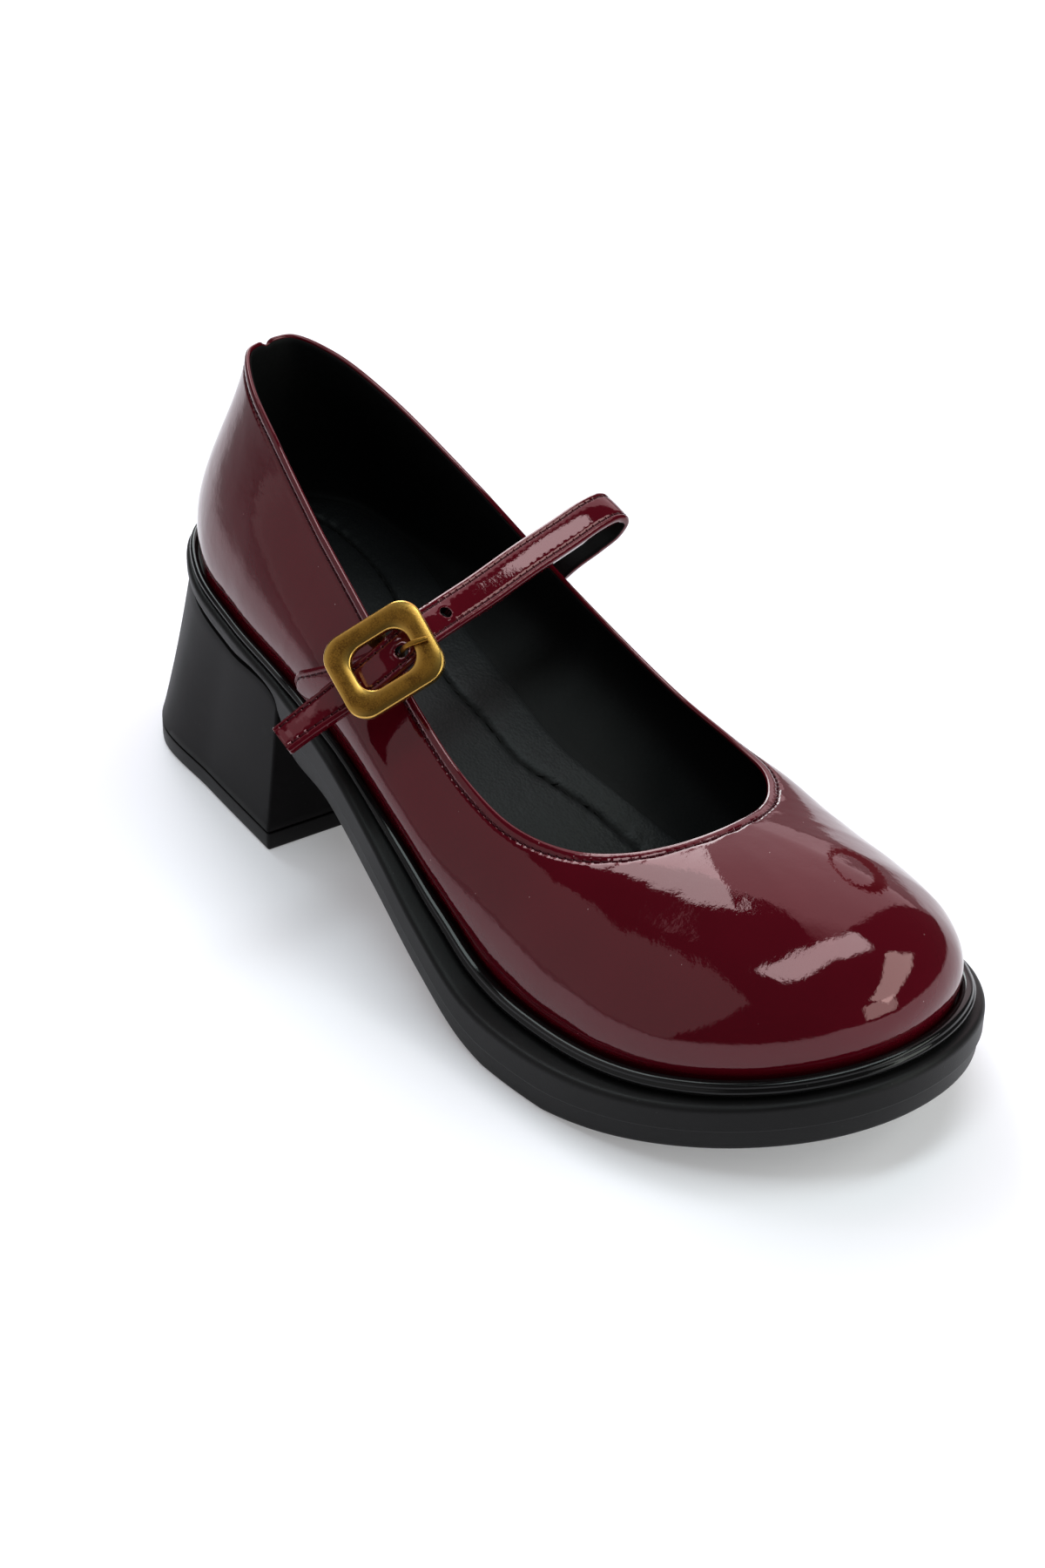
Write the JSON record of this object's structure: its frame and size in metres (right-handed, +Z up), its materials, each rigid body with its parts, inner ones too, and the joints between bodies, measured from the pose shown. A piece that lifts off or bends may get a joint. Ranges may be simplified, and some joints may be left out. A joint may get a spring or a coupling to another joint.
{
  "type": "mary jane shoe",
  "caption": "Right mary jane shoe with a low-cut glossy upper, round toe, ledge sole, block heel and a buckled instep strap.",
  "frame": {"origin": "middle of the bounding box in plan, on the floor", "axes": "+X towards the toe, -Y towards the outer (buckle) side, +Z up; the shoe stands on its heel and on the ball of the sole"},
  "size_m": [0.2606, 0.1076, 0.1121],
  "materials": {
    "patent_leather": "high gloss burgundy patent",
    "sole_rubber": "satin black",
    "heel_rubber": "matte black",
    "welt_rubber": "semi-gloss black",
    "sock_lining": "fine-grained matte black",
    "antique_brass": "aged, brushed"
  },
  "bodies": {
    "root": {"upper": "patent_leather", "strap": "patent_leather", "buckle_tab": "patent_leather", "outsole": "sole_rubber", "heel_top_piece": "sole_rubber", "heel_block": "heel_rubber", "welt_bead": "welt_rubber", "insole": "sock_lining", "buckle_frame": "antique_brass", "buckle_bar": "antique_brass", "buckle_prong": "antique_brass"}
  },
  "joints": []
}
